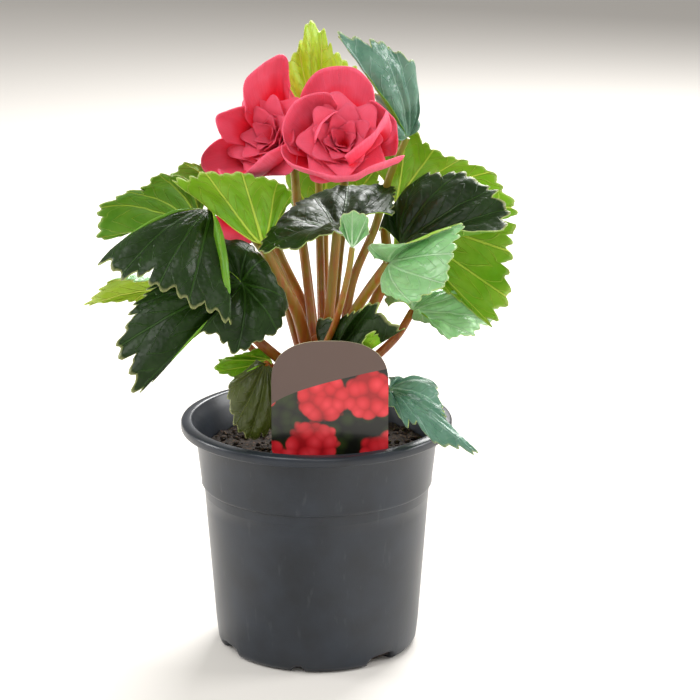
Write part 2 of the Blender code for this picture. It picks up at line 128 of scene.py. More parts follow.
# Each leaf is a fan of veins: it has the point where the stalk meets the blade, the tips of its veins in
# order round the margin, how far the veins arch off the flat, and how deep the margin dips between them.
# root is the stalk's place on the main stem, as an angle and a height, and via are points on its way.
LEAVES = {
    "left_far": {
        "base": (-55, -2, 207),
        "tips": [(-68, 5, 203), (-84, 0, 204), (-102, -12, 202), (-102, -18, 221), (-89, -22, 228),
                 (-73, -22, 235), (-60, -15, 232)],
        "arch": 5, "dip": 0.07, "radius": 2.2, "root": (162, 131),
        "via": [(-11, 4, 160), (-18, 7, 183), (-26, 9, 196), (-44, 12, 205)],
    },
    "left_front": {
        "base": (-24, -25, 203),
        "tips": [(-14, -22, 216), (-10, -25, 227), (-17, -30, 236), (-33, -38, 240), (-50, -40, 241),
                 (-67, -36, 238)],
        "arch": -5, "dip": 0.05, "radius": 2.9, "root": (-140, 148),
        "via": [(-9, -15, 169), (-18, -21, 188)],
    },
    "left_drooping": {
        "base": (-49, -22, 219),
        "tips": [(-82, -40, 206), (-99, -50, 200), (-89, -60, 194), (-71, -65, 190), (-57, -65, 183),
                 (-38, -65, 174), (-42, -55, 193), (-46, -42, 205)],
        "arch": 7, "dip": 0.07, "radius": 2.2, "root": (-165, 139.5),
        "via": [(-11, -4, 160), (-17, -8, 185), (-27, -12, 201), (-38, -16, 216)],
    },
    "left_low": {
        "base": (-34, -32, 187),
        "tips": [(-46, -20, 204), (-30, -18, 202), (-23, -30, 197), (-12, -37, 180), (-17, -44, 166),
                 (-36, -52, 157), (-54, -56, 167), (-82, -70, 144), (-91, -64, 164), (-85, -52, 179),
                 (-76, -40, 187)],
        "arch": -6, "dip": 0.08, "radius": 2.4, "root": (-130, 131),
        "via": [(-19, -24, 150), (-31, -24, 162), (-36, -24, 176)],
    },
    "left_small": {
        "base": (-70, 8, 174),
        "tips": [(-88, 10, 166), (-111, 5, 165), (-101, -2, 179), (-83, 0, 180)],
        "arch": 3, "dip": 0.07, "radius": 1.6, "root": (-170, 122.5),
        "via": [(-26, 6, 140), (-50, 9, 162)],
    },
    "back_left": {
        "base": (-44, 9, 225),
        "tips": [(-69, -1, 231), (-63, 6, 236), (-53, 12, 234), (-46, 13, 236)],
        "arch": 1, "dip": 0.07, "radius": 1.3, "root": (140, 139.5),
        "via": [(-10, 12, 163), (-20, 20, 187), (-42, 18, 215)],
    },
    "top_back": {
        "base": (1, 32, 250),
        "tips": [(-10, 29, 259), (-16, 32, 277), (-9, 36, 287), (-4, 38, 300), (3, 38, 296), (13, 34, 281),
                 (21, 30, 276)],
        "arch": -3, "dip": 0.06, "radius": 2.0, "root": (98, 139.5),
        "via": [(2, 25, 170), (1, 36, 215)],
    },
    "top_right": {
        "base": (43, 24, 244),
        "tips": [(28, 10, 266), (21, 2, 280), (10, -4, 299), (28, 8, 294), (36, 14, 289), (45, 22, 280),
                 (44, 28, 263)],
        "arch": -4, "dip": 0.04, "radius": 2.0, "root": (45, 139.5),
        "via": [(17, 17, 174), (28, 25, 200), (35, 26, 225)],
    },
    "right_large": {
        "base": (38, 32, 208),
        "tips": [(42, 34, 245), (55, 34, 234), (67, 32, 230), (80, 28, 225), (91, 22, 210), (89, 18, 191),
                 (88, 12, 172), (81, 10, 160), (63, 20, 171)],
        "arch": 5, "dip": 0.05, "radius": 2.6, "root": (30, 131),
        "via": [(25, 10, 160), (34, 20, 180), (33, 30, 199)],
    },
    "centre_left": {
        "base": (10, -14, 208),
        "tips": [(14, -38, 210), (-3, -39, 206), (-20, -36, 203), (-15, -15, 210), (-2, 15, 216),
                 (14, 20, 217), (33, 22, 217)],
        "arch": -4, "dip": 0.08, "radius": 2.5, "root": (-90, 148),
        "via": [(7, -13, 175)],
    },
    "centre_right": {
        "base": (40, 0, 197),
        "tips": [(39, 22, 211), (50, 20, 221), (64, 15, 222), (77, 8, 217), (82, 2, 211), (80, -8, 204),
                 (60, -18, 207)],
        "arch": -4, "dip": 0.07, "radius": 2.6, "root": (0, 148),
        "via": [(20, -2, 168)],
    },
    "right_glossy": {
        "base": (34, -30, 196),
        "tips": [(25, -34, 206), (44, -45, 209), (60, -42, 215), (69, -38, 216), (64, -46, 204),
                 (60, -55, 192), (45, -60, 184)],
        "arch": -5, "dip": 0.05, "radius": 2.6, "root": (-45, 148),
        "via": [(18, -17, 169)],
    },
    "right_low": {
        "base": (46, 15, 161),
        "tips": [(51, 8, 157), (62, 0, 151), (75, 8, 149), (86, 20, 154), (94, 32, 166), (81, 38, 168),
                 (63, 38, 167), (45, 30, 176), (29, 25, 173)],
        "arch": 4, "dip": 0.08, "radius": 2.2, "root": (-20, 131),
        "via": [(24, 2, 138), (38, 8, 150)],
    },
    "right_rim": {
        "base": (34, -24, 133),
        "tips": [(42, -40, 121), (54, -52, 118), (75, -62, 112), (65, -45, 118), (60, -30, 124),
                 (57, -12, 131), (46, -6, 130)],
        "arch": 4, "dip": 0.08, "radius": 1.8, "root": (-40, 122.5),
        "via": [(23, -16, 131)],
    },
    "front_left": {
        "base": (-23, -37, 150),
        "tips": [(-22, -42, 116), (-31, -43, 114), (-38, -43, 120), (-41, -44, 138), (-38, -42, 144),
                 (-31, -38, 148)],
        "arch": -4, "dip": 0.04, "radius": 1.8, "root": (-104, 122.5),
        "via": [(-6, -22, 129), (-17, -30, 141)],
    },
    "centre_back": {
        "base": (4, 46, 196),
        "tips": [(-10, 42, 209), (-10, 45, 218), (5, 47, 220), (24, 47, 219), (24, 45, 210)],
        "arch": 3, "dip": 0.07, "radius": 1.8, "root": (75, 122.5),
        "via": [(4, 28, 145), (4, 43, 170)],
    },
    "young_centre": {
        "base": (17, -46, 207),
        "tips": [(11, -48, 216), (12, -49, 223), (17, -50, 226), (24, -50, 223), (25, -48, 214)],
        "arch": 2, "dip": 0.1, "radius": 1.6, "root": (-112, 139.5),
        "via": [(4, -22, 153), (10, -31, 170), (15, -43, 193)],
    },
    "low_bract": {
        "base": (-20.3, -25.6, 147.6),
        "tips": [(-32, -33, 141), (-47, -38, 146), (-46, -36, 151), (-35, -30, 152.5)],
        "arch": 2, "dip": 0.03,
    },
    "low_arching": {
        "base": (8.3, -8.4, 139),
        "tips": [(19, -42, 177), (28, -48, 183), (40, -56, 172), (25, -47, 167)],
        "arch": -3, "dip": 0.05,
    },
}

# Painted light on each leaf, as the colour sets of its upper side and underside: dark and olive are painted
# shadow, grey and pale a painted sheen, bright and yellow a painted glow of light shining through the blade.
# That undersides are paler, and that the young leaf is pale, is the leaves' own colour.
LIT_AND_SHADED_TONES = {
    "left_far": ("dark", "green"), "left_front": ("dark", "bright"), "left_drooping": ("dark", "green"),
    "left_low": ("dark", "green"), "left_small": ("pale", "yellow"), "back_left": ("dark", "green"),
    "top_back": ("yellow", "yellow"), "top_right": ("grey", "green"), "right_large": ("dark", "bright"),
    "centre_left": ("dark", "green"), "centre_right": ("dark", "green"), "right_glossy": ("pale", "bright"),
    "right_low": ("pale", "bright"), "right_rim": ("grey", "bright"), "front_left": ("olive", "bright"),
    "centre_back": ("dark", "bright"), "young_centre": ("pale", "pale"), "low_bract": ("bright", "bright"),
    "low_arching": ("dark", "bright"),
}
# Body colour, vein colour and roughness of each set. The body colours are painted light: painted shadow in
# dark and olive, painted sheen in grey and pale, painted light shining through the blade in bright and
# yellow.
LEAF_LIT_AND_SHADED_COLOURS = {
    "dark": ("#132804", "#2e5210", 0.38), "olive": ("#333c0a", "#5a6616", 0.36),
    "grey": ("#4c7a64", "#9cc6b0", 0.27), "pale": ("#86c27c", "#cdeec2", 0.27),
    "green": ("#4f8f0a", "#a4c83a", 0.45), "bright": ("#74b208", "#c8e24c", 0.45),
    "yellow": ("#a2c806", "#dcea5c", 0.45),
}

# A flower has a heart: the receptacle and the tight inner petals, from its foot along its axis. Each petal
# is a fan that starts beside the receptacle, at a height on its axis, and ends at the tips of its veins.
FLOWERS = {
    "front_flower": {
        "foot": (13, -9, 244), "axis": (0, -0.83, 0.55), "size": 1.0,
        "root": (75, 148), "via": [(10, 24, 180), (13, 31, 208), (13, 18, 234)],
        "petals": {
            "left": (0, [(-12, -29, 251), (-15, -22, 258), (-11, -20, 267), (-5, -16, 270),
                         (2, -15, 271), (6, -15, 268)]),
            "back": (-1, [(-5, -5, 273), (4, -2, 280), (16, -2, 281), (23, -4, 276), (26, -7, 270)]),
            "right": (0, [(29, -13, 269), (35, -15, 263), (38, -18, 257), (39, -22, 248)]),
            "front": (-1, [(-13, -32, 249), (-10, -37, 243), (1, -42, 240), (13, -44, 238),
                           (23, -44, 241), (37, -37, 245)]),
            "right_front": (1, [(18, -41, 248), (28, -37, 256), (33, -31, 263), (36, -25, 258)]),
            "inner_left": (1.5, [(-1, -31, 255), (1, -28, 262), (9, -24, 266)]),
        },
    },
    "left_flower": {
        "foot": (-15, 5, 244), "axis": (-0.55, -0.7, 0.46), "size": 0.9,
        "root": (120, 148), "via": [(-5, 20, 180), (-9, 30, 208), (-11, 20, 234)],
        "petals": {
            "top": (0, [(-14, 9, 275), (-18, 9, 284), (-24, 4, 283), (-32, -4, 277), (-34, -9, 268)]),
            "right": (-1, [(-13, 14, 274), (-8, 7, 264), (-6, 1, 254)]),
            "upper_left": (1, [(-36, -10, 266), (-42, -13, 264), (-46, -16, 260), (-44, -16, 252)]),
            "lower_left": (-1, [(-49, -13, 249), (-53, -10, 241), (-51, -9, 235), (-43, -12, 233)]),
            "front": (1, [(-44, -26, 236), (-36, -30, 235), (-28, -31, 239), (-13, -23, 249)]),
        },
    },
    "hidden_flower": {
        "foot": (-34, 15, 218), "axis": (-0.1, -0.92, -0.38), "size": 0.6,
        "root": (118, 131), "via": [(-6, 22, 160), (-17, 33, 182), (-27, 31, 208), (-33, 24, 221)],
        "petals": {
            "lower": (0, [(-48, -3, 208), (-41, -8, 200), (-31, -7, 199), (-25, -1, 207)]),
            "upper": (0, [(-45, -2, 219), (-36, -4, 225), (-27, 0, 220)]),
        },
    },
}


def linear(hex_colour):
    """An sRGB hex colour as linear RGBA."""
    parts = [int(hex_colour[i:i + 2], 16) / 255 for i in (1, 3, 5)]
    return [p / 12.92 if p <= 0.04045 else ((p + 0.055) / 1.055) ** 2.4 for p in parts] + [1.0]


def feed(tree, socket, value):
    """Sets an input, or links it to a socket or to the first output in use of a node."""
    if isinstance(value, bpy.types.Node):
        value = next(output for output in value.outputs if output.enabled)
    if isinstance(value, bpy.types.NodeSocket):
        tree.links.new(value, socket)
    else:
        socket.default_value = value


def node(tree, kind, inputs, **settings):
    """Adds a shader node with its settings and feeds its inputs. Stops give a colour ramp its colours."""
    made = tree.nodes.new("ShaderNode" + kind)
    stops = settings.pop("stops", [])
    for key, value in settings.items():
        setattr(made, key, value)
    for place, value in inputs.items():
        feed(tree, made.inputs[place], value)
    for index, (place, colour) in enumerate(stops):
        elements = made.color_ramp.elements
        stop = elements[index] if index < 2 else elements.new(place)
        stop.position = place
        stop.color = linear(colour)
    return made


def material(name, inputs):
    """A material whose Principled shader takes the inputs that the function makes in its node tree."""
    made = bpy.data.materials.new(name)
    made.use_nodes = True
    tree = made.node_tree
    shader = tree.nodes["Principled BSDF"]
    for place, value in inputs(tree).items():
        feed(tree, shader.inputs[place], value)
    return made


def moulded_polypropylene(tree):
    """Injection-moulded polypropylene: satin and faintly mottled, with faint upright scuffs."""
    place = node(tree, "TexCoord", {}).outputs["Object"]
    mottle = node(tree, "TexNoise", {"Vector": place, "Scale": 55.0, "Detail": 4.0})
    grain = node(tree, "TexNoise", {"Vector": place, "Scale": 1400.0})
    stretched = node(tree, "Mapping", {"Vector": place, "Scale": (1.0, 1.0, 0.25)})
    scuff = node(tree, "TexNoise", {"Vector": stretched, "Scale": 260.0, "Detail": 6.0})
    worn = node(tree, "MapRange", {"Value": scuff, "From Min": 0.64, "From Max": 0.78, "To Max": 0.05})
    body = node(tree, "ValToRGB", {"Fac": mottle}, stops=[(0.3, "#1a1f26"), (0.7, "#242b35")])
    return {
        "Base Color": node(tree, "Mix", {0: worn, 6: body, 7: linear("#a9adb0")}, data_type="RGBA"),
        "Roughness": node(tree, "MapRange", {"Value": mottle, "To Min": 0.26, "To Max": 0.40}),
        "IOR": 1.49,
        "Normal": node(tree, "Bump", {"Height": grain, "Distance": 0.00006, "Strength": 0.5}),
    }


def peat_compost(tree):
    """Peat compost: near black and matt, with paler crumbs."""
    place = node(tree, "TexCoord", {}).outputs["Object"]
    fine = node(tree, "TexNoise", {"Vector": place, "Scale": 700.0, "Detail": 6.0})
    stops = [(0.3, "#0e0a07"), (0.72, "#5b452f"), (0.55, "#2a1d13")]
    return {
        "Base Color": node(tree, "ValToRGB", {"Fac": fine}, stops=stops),
        "Roughness": 0.95,
        "Normal": node(tree, "Bump", {"Height": fine, "Distance": 0.001}),
    }


def fleshy_stalk(tree):
    """A fleshy begonia stalk: smooth and slightly see-through, red-brown below and olive above."""
    place = node(tree, "TexCoord", {}).outputs["Object"]
    height = node(tree, "SeparateXYZ", {"Vector": place}).outputs["Z"]
    along = node(tree, "Mapping", {"Vector": place, "Scale": (1.0, 1.0, 0.12)})
    streak = node(tree, "TexNoise", {"Vector": along, "Scale": 420.0, "Detail": 4.0})
    upper = node(tree, "MapRange", {"Value": height, "From Min": 0.13, "From Max": 0.25, "To Max": 0.5})
    part = node(tree, "Math", {0: streak, 1: 0.6, 2: upper}, operation="MULTIPLY_ADD")
    stops = [(0.15, "#7a2c10"), (0.9, "#93a834"), (0.4, "#a0561a"), (0.62, "#8f7a22")]
    return {
        "Base Color": node(tree, "ValToRGB", {"Fac": part}, stops=stops),
        "Roughness": 0.36,
        "Subsurface Weight": 0.2,
        "Subsurface Radius": (0.004, 0.002, 0.001),
        "Normal": node(tree, "Bump", {"Height": streak, "Distance": 0.0003}),
    }


def leaf_skin(tone, side):
    """A begonia leaf's waxy skin, pebbled between its palmate veins, which stand out on the underside."""
    # The set's body colour is painted light: painted shadow for dark and olive, painted sheen for grey and
    # pale, painted light shining through for bright and yellow.
    body_hex, vein_hex, rough = LEAF_LIT_AND_SHADED_COLOURS[tone]
    raised = side == "under"

    def inputs(tree):
        place = node(tree, "TexCoord", {}).outputs["Object"]
        web = node(tree, "SeparateXYZ", {"Vector": node(tree, "UVMap", {}, uv_map="veins")})
        around, along = web.outputs["X"], web.outputs["Y"]
        # 0 on a main vein, 0.5 midway between two
        off = node(tree, "Math", {0: around, 1: 0.5}, operation="PINGPONG")
        apart = node(tree, "Math", {0: off, 1: along}, operation="MULTIPLY")
        main = node(tree, "MapRange", {"Value": apart, "From Min": 0.018, "From Max": 0.034,
                                       "To Min": 1.0, "To Max": 0.0})
        # Side veins leave the main ones on a slant towards the margin
        mottle = node(tree, "TexNoise", {"Vector": place, "Scale": 70.0, "Detail": 3.0})
        out = node(tree, "Math", {0: along, 1: 5.0, 2: mottle}, operation="MULTIPLY_ADD")
        slant = node(tree, "Math", {0: off, 1: -3.2, 2: out}, operation="MULTIPLY_ADD")
        near = node(tree, "Math", {0: slant, 1: 0.5}, operation="PINGPONG")
        fine = node(tree, "MapRange", {"Value": near, "From Min": 0.02, "From Max": 0.07,
                                       "To Min": 0.5, "To Max": 0.0})
        veins = node(tree, "Math", {0: main, 1: fine}, operation="MAXIMUM")
        shade = node(tree, "MapRange", {"Value": mottle, "From Min": 0.3, "From Max": 0.7, "To Max": 0.3})
        contrast = 0.8 if raised else 0.5
        drawn = node(tree, "Math", {0: veins, 1: contrast, 2: shade}, operation="MULTIPLY_ADD")
        body = node(tree, "Mix", {0: drawn, 6: linear(body_hex), 7: linear(vein_hex)}, data_type="RGBA",
                    clamp_factor=True)
        edge = node(tree, "MapRange", {"Value": along, "From Min": 0.965, "From Max": 0.995, "To Max": 0.4})
        pebble = node(tree, "TexVoronoi", {"Vector": place, "Scale": 430.0}, feature="SMOOTH_F1")
        depth = -0.3 if raised else -0.7
        lift = node(tree, "Math", {0: pebble, 1: depth, 2: veins}, operation="MULTIPLY_ADD")
        gloss = node(tree, "MapRange", {"Value": mottle, "To Min": rough - 0.08, "To Max": rough + 0.12})
        return {
            "Base Color": node(tree, "Mix", {0: edge, 6: body, 7: linear("#d9dc94")}, data_type="RGBA"),
            "Roughness": gloss,
            "Specular IOR Level": 0.28 if tone == "dark" else 0.5,
            "Subsurface Weight": 0.15,
            "Subsurface Radius": (0.001, 0.002, 0.0005),
            "Normal": node(tree, "Bump", {"Height": lift, "Distance": 0.0007 if raised else 0.0005}),
        }

    return material(f"begonia_leaf_{side}_{tone}", inputs)


def petal_skin(middle, edge):
    """A petal: velvety, deeper red towards its base and paler to the edge, with fine veins running along it.
    """

    def inputs(tree):
        web = node(tree, "UVMap", {}, uv_map="veins")
        along = node(tree, "SeparateXYZ", {"Vector": web}).outputs["Y"]
        place = node(tree, "TexCoord", {}).outputs["Object"]
        soft = node(tree, "TexNoise", {"Vector": place, "Scale": 60.0})
        part = node(tree, "Math", {0: soft, 1: 0.5, 2: along}, operation="MULTIPLY_ADD")
        fibres = node(tree, "Mapping", {"Vector": web, "Scale": (16.0, 0.8, 1.0)})
        line = node(tree, "TexNoise", {"Vector": fibres, "Scale": 1.6, "Detail": 3.0})
        stops = [(0.3, "#d80c26"), (1.0, edge), (0.75, middle)]
        body = node(tree, "ValToRGB", {"Fac": part}, stops=stops)
        veined = node(tree, "MapRange", {"Value": line, "From Min": 0.4, "From Max": 0.8, "To Max": 0.35})
        return {
            "Base Color": node(tree, "Mix", {0: veined, 6: body, 7: linear("#f02440")}, data_type="RGBA"),
            "Roughness": 0.5,
            "Specular IOR Level": 0.25,
            "Subsurface Weight": 0.2,
            "Subsurface Radius": (0.004, 0.001, 0.001),
            "Normal": node(tree, "Bump", {"Height": line, "Distance": 0.0004}),
        }

    return material("begonia_petal_velvet", inputs)


def printed_card(tree):
    """Gloss-laminated card: a plain brown header above a curve, and red clusters on dark green."""
    place = node(tree, "TexCoord", {}).outputs["Object"]
    split = node(tree, "SeparateXYZ", {"Vector": place})
    # The header's lower edge rises in a curve from 130.5 mm on the left to 149.5 mm on the right
    run = node(tree, "MapRange", {"Value": split.outputs["X"], "From Min": -0.021, "From Max": 0.034})
    rise = node(tree, "Math", {0: run, 1: 0.6}, operation="POWER")
    curve = node(tree, "Math", {0: rise, 1: 0.019, 2: 0.1305}, operation="MULTIPLY_ADD")
    head = node(tree, "Math", {0: split.outputs["Z"], 1: curve}, operation="GREATER_THAN")
    # Clusters about 25 mm across, each of round cells 6 mm apart
    shift = {"Vector": place, "Scale": (1.0, 0.0, 1.0), "Location": (0.004, 0.0, 0.006)}
    flat = node(tree, "Mapping", shift)
    bloom = node(tree, "TexVoronoi", {"Vector": flat, "Scale": 36.0, "Randomness": 0.3})
    petal = node(tree, "TexVoronoi", {"Vector": flat, "Scale": 170.0})
    ragged = node(tree, "Math", {0: petal, 1: 0.16, 2: bloom}, operation="MULTIPLY_ADD")
    inside = node(tree, "MapRange", {"Value": ragged, "From Min": 0.50, "From Max": 0.54, "To Min": 1.0,
                                     "To Max": 0.0})
    red = node(tree, "ValToRGB", {"Fac": petal}, stops=[(0.1, "#f2404a"), (0.8, "#a90f18"), (0.5, "#d8242e")])
    leafy = node(tree, "ValToRGB", {"Fac": petal}, stops=[(0.2, "#2c3a16"), (0.7, "#0c0f08")])
    field = node(tree, "Mix", {0: inside, 6: leafy, 7: red}, data_type="RGBA")
    return {
        "Base Color": node(tree, "Mix", {0: head, 6: field, 7: linear("#5f4a42")}, data_type="RGBA"),
        "Roughness": 0.3,
        "Coat Weight": 0.3,
    }


def card_edge(tree):
    """The card's cream border, cut edge and uncoated back."""
    place = node(tree, "TexCoord", {}).outputs["Object"]
    grain = node(tree, "TexNoise", {"Vector": place, "Scale": 900.0})
    return {
        "Base Color": node(tree, "ValToRGB", {"Fac": grain}, stops=[(0.3, "#cfc79c"), (0.7, "#ded7b4")]),
        "Roughness": 0.5,
    }


def painted_floor(tree):
    """A pale matt floor."""
    return {"Base Color": linear("#e6e2dc"), "Roughness": 0.8}


def add_piece(name, bm, materials, replaced, flip_check=True):
    """Links the bmesh, given in mm, as a finished piece that rides on the plant and stands for CAD nodes."""
    if flip_check:
        bmesh.ops.recalc_face_normals(bm, faces=bm.faces)
    bmesh.ops.transform(bm, matrix=Matrix.Scale(MM, 4), verts=bm.verts)
    mesh = bpy.data.meshes.new(name)
    bm.to_mesh(mesh)
    bm.free()
    for item in materials:
        mesh.materials.append(item)
    mesh.shade_smooth()
    piece = bpy.data.objects.new(name, mesh)
    bpy.context.scene.collection.objects.link(piece)
    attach(piece, "root")
    if replaced:
        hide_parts(*replaced)
    return piece


def turned(profile, steps):
    """The profile of (radius, height) points turned about +Z."""
    bm = bmesh.new()
    points = [bm.verts.new((radius, 0, height)) for radius, height in profile]
    edges = [bm.edges.new(pair) for pair in zip(points, points[1:])]
    bmesh.ops.spin(
        bm, geom=points + edges, axis=(0, 0, 1), cent=(0, 0, 0), steps=steps, angle=math.tau, use_merge=True,
    )
    bmesh.ops.remove_doubles(bm, verts=bm.verts, dist=0.001)
    return bm


def inner_radius(height):
    """The pot's inside radius at a height."""
    radius = BASE_RADIUS - WALL
    if height < LEDGE_HEIGHT:
        return radius + LOWER_TAPER * height / LEDGE_HEIGHT
    part = (height - LEDGE_HEIGHT) / (RIM_HEIGHT - LEDGE_HEIGHT)
    return radius + LOWER_TAPER + LEDGE_STEP + UPPER_TAPER * part


def arch_lift(x, y):
    """How high the drain arches raise the pot's bottom corner at this place."""
    lift = 0.0
    for index in range(ARCH_COUNT):
        middle = math.radians(ARCH_TURN + index * 360 / ARCH_COUNT)
        off = math.atan2(x, -y) - middle
        off = (off + math.pi) % math.tau - math.pi
        part = abs(off) * BASE_RADIUS / (ARCH_WIDTHS[index % 2] / 2)
        if part < 1:
            lift = max(lift, ARCH_HEIGHTS[index % 2] * (1 - part**4) ** 0.5)
    return lift


def between(a, b, c, d, t):
    """The Catmull-Rom point between b and c."""
    square = (2 * a - 5 * b + 4 * c - d) * t**2
    return 0.5 * (2 * b + (c - a) * t + square + (3 * b - a - 3 * c + d) * t**3)


def smooth_path(points, steps):
    """A smooth line through the points, with this many steps between each two."""
    line = [Vector(p) for p in points]
    line = [2 * line[0] - line[1]] + line + [2 * line[-1] - line[-2]]
    path = []
    for a, b, c, d in zip(line, line[1:], line[2:], line[3:]):
        for step in range(steps):
            path.append(between(a, b, c, d, step / steps))
    return path + [line[-2]]


def stem_axis(height):
    """The main stem's middle at a height."""
    foot, middle, top = Vector(STEM_FOOT), Vector(STEM_MIDDLE), Vector(STEM_TOP)
    if height < middle.z:
        return foot.lerp(middle, (height - foot.z) / (middle.z - foot.z))
    return middle.lerp(top, (height - middle.z) / (top.z - middle.z))


def tube(name, points, radii, skin, replaced):
    """A round stalk as a curve with filled ends."""
    curve = bpy.data.curves.new(name, "CURVE")
    curve.dimensions = "3D"
    curve.bevel_depth = MM
    curve.bevel_resolution = 4
    curve.use_fill_caps = True
    spline = curve.splines.new("POLY")
    spline.points.add(len(points) - 1)
    for place, point, radius in zip(spline.points, points, radii):
        place.co = (*(point * MM), 1.0)
        place.radius = radius
    spline.use_smooth = True
    curve.materials.append(skin)
    piece = bpy.data.objects.new(name, curve)
    bpy.context.scene.collection.objects.link(piece)
    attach(piece, "root")
    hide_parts(*replaced)
    return piece


def stalk(name, node_name, root, via, end, radius, skin):
    """A stalk from the main stem to what it carries, thicker where it leaves the stem."""
    angle = math.radians(root[0])
    out = Vector((math.cos(angle), math.sin(angle), 0))
    begin = stem_axis(root[1]) + out * (STEM_RADIUS - 1.5)
    path = smooth_path([begin, begin + out * (radius + 1.8), *via, end], 8)
    count = len(path) - 1
    radii = [radius * (1.2 - 0.35 * i / count + 0.35 * (1 - i / count) ** 8) for i in range(count + 1)]
    tube(name, path, radii, skin, [node_name])


def vein_point(base, tip, arch, normal, ahead, full, t):
    """A point on a vein. With full under 1, it leaves the blade's middle line early."""
    run = ahead * ahead.dot(tip - base)
    return base + run * t + (tip - base - run) * t**full + normal * (4 * arch * t * (1 - t))


def fan_point(base, tips, arch, normal, full, u, reach):
    """A point on a blade: u counts the veins round the margin, and reach runs from the base to the tips."""
    ahead = (sum(tips, Vector()) / len(tips) - base).normalized()
    line = [vein_point(base, tip, arch, normal, ahead, full, reach) for tip in tips]
    line = [2 * line[0] - line[1]] + line + [2 * line[-1] - line[-2]]
    first = min(int(u), len(tips) - 2)
    return between(*line[first:first + 4], u - first)


def fan_normal(base, tips):
    """The blade's mean normal, not of unit length."""
    return sum(((one - base).cross(two - base) for one, two in zip(tips, tips[1:])), Vector())


def write_webs(bm, layer, webs):
    """Writes each vertex's (u, t) into the UV layer."""
    for face in bm.faces:
        for loop in face.loops:
            loop[layer].uv = webs[loop.vert]


def fan_mesh(base, tips, arch, dip, outward, tooth, ruffle, seed):
    """A fan-shaped blade, with the vein count and the reach in its UV map. A petal has no tooth."""
    normal = fan_normal(base, tips).normalized()
    if outward is not None and normal.dot(outward) < 0:
        normal.negate()
    side = normal if arch >= 0 else -normal
    spread, swelling, pucker = LEAF_FORM if tooth else PETAL_FORM
    teeth = [max(1, round((two - one).length / (tooth or TOOTH))) for one, two in zip(tips, tips[1:])]
    columns = [0.0]
    for index, count in enumerate(teeth):
        columns += [index + step / (6 * count) for step in range(1, 6 * count + 1)]
    bm = bmesh.new()
    layer = bm.loops.layers.uv.new("veins")
    bmesh.ops.create_grid(bm, x_segments=len(columns) - 1, y_segments=ROWS, size=0.5)
    webs = {}
    for vert in bm.verts:
        u = columns[round((vert.co.x + 0.5) * (len(columns) - 1))]
        t = vert.co.y + 0.5
        first = min(int(u), len(tips) - 2)
        part = u - first
        middle = math.sin(math.pi * part) ** 2
        reach = t * (1 - dip * middle)
        if tooth:
            # Uneven coarse teeth lean to one side, and each carries three small ones
            number, saw = divmod(part * teeth[first], 1.0)
            uneven = 1 + 0.9 * noise.noise(Vector((number * 1.7 + first * 5.3, seed, 0.5)))
            small = abs(saw * 3 % 1.0 - 0.4)
            reach *= 1 - t**6 * uneven * (0.13 * abs(saw - 0.35) + 0.025 * small)
        else:
            # A petal's corners are rounded and its end rolls back
            reach *= 1 - 0.14 * abs(2 * u / (len(tips) - 1) - 1) ** 5 * t
        point = fan_point(base, tips, arch, normal, spread, u, max(reach, 0.0))
        lift = middle * math.sin(math.pi * min(t, 1.0)) * swelling
        lift -= 0 if tooth else PETAL_ROLL * t**6
        lift += ruffle * t**3 * noise.noise(Vector((u * 1.3 + seed, t * 1.5, seed * 0.37)))
        lift += pucker * noise.noise(point * 0.16) * min(1.0, 4 * t)
        vert.co = point + side * lift
        webs[vert] = (u, t)
    write_webs(bm, layer, webs)
    bmesh.ops.remove_doubles(bm, verts=bm.verts, dist=0.005)
    bm.normal_update()
    facing = sum((face.normal * face.calc_area() for face in bm.faces), Vector())
    if facing.dot(side) < 0:
        bmesh.ops.reverse_faces(bm, faces=bm.faces)
    return bm


def with_ears(base, tips):
    """The tips with two more, for the rounded lobes that flank the stalk."""
    normal = fan_normal(base, tips)
    turns = [Matrix.Rotation(math.radians(angle), 3, normal) for angle in (-EAR_TURN, EAR_TURN)]
    ears = [base + turn @ (tip - base) * EAR_LENGTH for turn, tip in zip(turns, (tips[0], tips[-1]))]
    return [ears[0], *tips, ears[1]]


def thicken(piece, thickness):
    """Gives a blade its thickness, with its second material on the underside and the edge."""
    shell = piece.modifiers.new("thickness", "SOLIDIFY")
    shell.thickness = thickness * MM
    shell.offset = 0.0
    shell.material_offset = 1
    shell.material_offset_rim = 1


class BegoniaSettings(bpy.types.PropertyGroup):
    petal_colour: bpy.props.StringProperty(
        name="Petal colour", description="Middle of the petals, as an sRGB hex value", default="#ff2640")
    petal_edge: bpy.props.StringProperty(
        name="Petal edge", description="Edge of the petals, as an sRGB hex value", default="#ff6c88")
    crumbs: bpy.props.IntProperty(
        name="Crumbs", description="Loose crumbs on the compost", default=420, min=0, max=2000)
    ruffle: bpy.props.FloatProperty(
        name="Ruffle", description="How far the leaf margins wave", default=0.005, min=0.0, unit="LENGTH")


